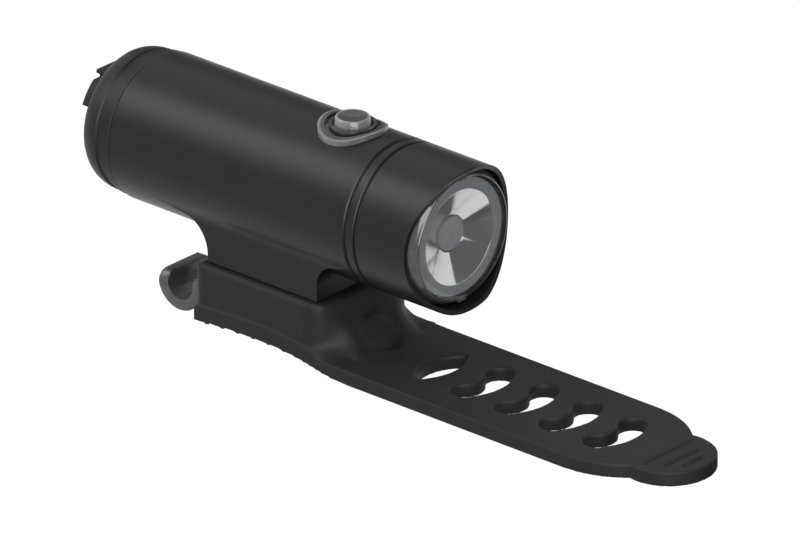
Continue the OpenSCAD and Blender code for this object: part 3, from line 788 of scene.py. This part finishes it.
def finish_tree(tree, geometry, given, result):
    """Ends a tree in plain, smooth and painted mesh."""
    smooth = put(tree, "GeometryNodeSetShadeSmooth", {"Geometry": geometry})
    solid = put(tree, "GeometryNodeRealizeInstances", {"Geometry": smooth.outputs[0]})
    painted = put(tree, "GeometryNodeSetMaterial",
                  {"Geometry": solid.outputs[0], "Material": given["Finish"]})
    tree.links.new(painted.outputs[0], result["Geometry"])
    return tree


def seal_tree():
    """Ring round the tube axis with a rounded oblong section."""
    tree, given, result = open_tree("seal_ring", [
        ("Radius", NUMBER), ("Across", NUMBER), ("Along", NUMBER), ("Forward", NUMBER),
        ("Round", NUMBER), ("Axis", NUMBER), ("Finish", "NodeSocketMaterial")])
    path = put(tree, "GeometryNodeCurvePrimitiveCircle",
               {"Resolution": 128, "Radius": given["Radius"]})
    oblong = put(tree, "GeometryNodeCurvePrimitiveQuadrilateral",
                 {"Width": given["Across"], "Height": given["Along"]})
    fillet = put(tree, "GeometryNodeFilletCurve",
                 {"Curve": oblong.outputs[0], "Radius": given["Round"], "Count": 3}, mode="POLY")
    ring = put(tree, "GeometryNodeCurveToMesh",
               {"Curve": path.outputs[0], "Profile Curve": fillet.outputs[0]})
    shift = put(tree, "ShaderNodeCombineXYZ", {"Y": given["Forward"], "Z": given["Axis"]})
    stand = put(tree, "GeometryNodeTransform", {
        "Geometry": ring.outputs[0], "Translation": shift.outputs[0],
        "Rotation": (math.pi / 2, 0, 0)})
    return finish_tree(tree, stand.outputs[0], given, result)


def nub_tree():
    """Field of domes under the saddle, which follows its two arcs and leaves the middle free."""
    tree, given, result = open_tree("nub_field", [
        ("Wide", NUMBER), ("Long", NUMBER), ("Middle", NUMBER), ("Front", NUMBER),
        ("Back", NUMBER), ("Size", NUMBER), ("Sink", NUMBER), ("Finish", "NodeSocketMaterial")])
    grid = put(tree, "GeometryNodeMeshGrid",
               {"Size X": given["Wide"], "Size Y": given["Long"], "Vertices X": 7, "Vertices Y": 6})
    shift = put(tree, "ShaderNodeCombineXYZ", {"Y": given["Middle"]})
    moved = put(tree, "GeometryNodeTransform",
                {"Geometry": grid.outputs[0], "Translation": shift.outputs[0]})
    spot = put(tree, "GeometryNodeInputPosition")
    place = put(tree, "ShaderNodeSeparateXYZ", {"Vector": spot.outputs[0]})
    x, y = place.outputs["X"], place.outputs["Y"]
    middle = work_out(tree, "LESS_THAN", work_out(tree, "ABSOLUTE", x), 1 * MM)
    pairs = put(tree, "GeometryNodeDeleteGeometry",
                {"Geometry": moved.outputs[0], "Selection": middle})
    behind = work_out(tree, "GREATER_THAN", y)
    bend = put(tree, "ShaderNodeMix", {"Factor": behind, "A": given["Front"], "B": given["Back"]})
    square = work_out(tree, "MULTIPLY", y, y)
    drop = work_out(tree, "DIVIDE", square, work_out(tree, "MULTIPLY", bend.outputs[0], -2.0))
    low = work_out(tree, "SUBTRACT", drop, given["Sink"])
    seat = put(tree, "ShaderNodeCombineXYZ", {"Z": low})
    laid = put(tree, "GeometryNodeSetPosition",
               {"Geometry": pairs.outputs[0], "Offset": seat.outputs[0]})
    dome = put(tree, "GeometryNodeMeshUVSphere",
               {"Segments": 20, "Rings": 12, "Radius": given["Size"]})
    field = put(tree, "GeometryNodeInstanceOnPoints",
                {"Points": laid.outputs[0], "Instance": dome.outputs[0]})
    return finish_tree(tree, field.outputs[0], given, result)


def grown(name, tree, slot, values):
    """Plain mesh piece from a node tree with these inputs."""
    piece = add_object(name, bpy.data.meshes.new(name))
    step = piece.modifiers.new("grow", "NODES")
    step.node_group = tree
    for item in tree.interface.items_tree:
        if item.in_out == "INPUT" and item.name in values:
            step[item.identifier] = values[item.name]
        elif item.in_out == "INPUT" and item.name == "Finish":
            step[item.identifier] = FINISHES[slot]
    settle(piece)
    wear(piece, slot)
    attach(piece, "housing")
    return piece


def make_seals():
    """Seals between the parts of the tube, pressed out a little into their gaps."""
    tree = seal_tree()
    for node in ("body_seal", "bezel_seal", "rear_gasket", "lens_gasket"):
        low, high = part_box(node)
        spots = [vert.co for vert in frame["nodes"][node].data.vertices]
        reach = [math.hypot(spot.x, spot.z - AXIS * MM) for spot in spots]
        inner, outer = min(reach), max(*reach, SEAL_REACH.get(node, 0) * MM)
        along = high.y - low.y
        flush = node == "rear_gasket"
        piece = grown(node + "_ring", tree, "seal_rubber", {
            "Radius": (inner + outer) / 2, "Across": outer - inner, "Along": along,
            "Forward": (low.y + high.y) / 2, "Round": along * (0.05 if flush else 0.3),
            "Axis": AXIS * MM})
        if flush:
            piece.data.materials[0] = FINISHES["pressed_seal"]
        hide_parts(node)


def make_nubs():
    """Grip nubs that hang from the saddle."""
    grown("grip_nubs", nub_tree(), "strap_rubber", {
        "Wide": 27.6 * MM, "Long": 21.5 * MM, "Middle": 4.15 * MM, "Front": SADDLE_FRONT * MM,
        "Back": SADDLE_BACK * MM, "Size": NUB_SIZE * MM, "Sink": -0.15 * MM})


bpy.context.scene.view_settings.view_transform = "Standard"
add_camera()
light_world()
add_softbox("strip", (-0.393, 0.608, 0.690), 1.0, (0.25, 0.9), 4.4)
add_card("flag_front", (0.0, -1.1, 0.5), (2.6, 1.4), FLAG_TONE)
add_card("flag_back", (0.86, 0.7, 0.31), (0.7, 0.7), 0.2)
add_table_flags()
# Bright card for the arc of light on the rim of the lens, not passed on by the glass
add_card("edge_glow", (-0.6, -0.75, 0.3), (0.8, 1.5), 8.0).visible_transmission = False
add_floor()
FINISHES = make_finishes()
paint_nodes()
make_strap()
make_nubs()
make_flap()
make_seals()
make_lens()
make_reflector()
softened("hook", "strap_hook", 0.45)
softened("button_ring", "button_surround", 0.18)
softened("button_top", "button_cap", 0.1, "button")
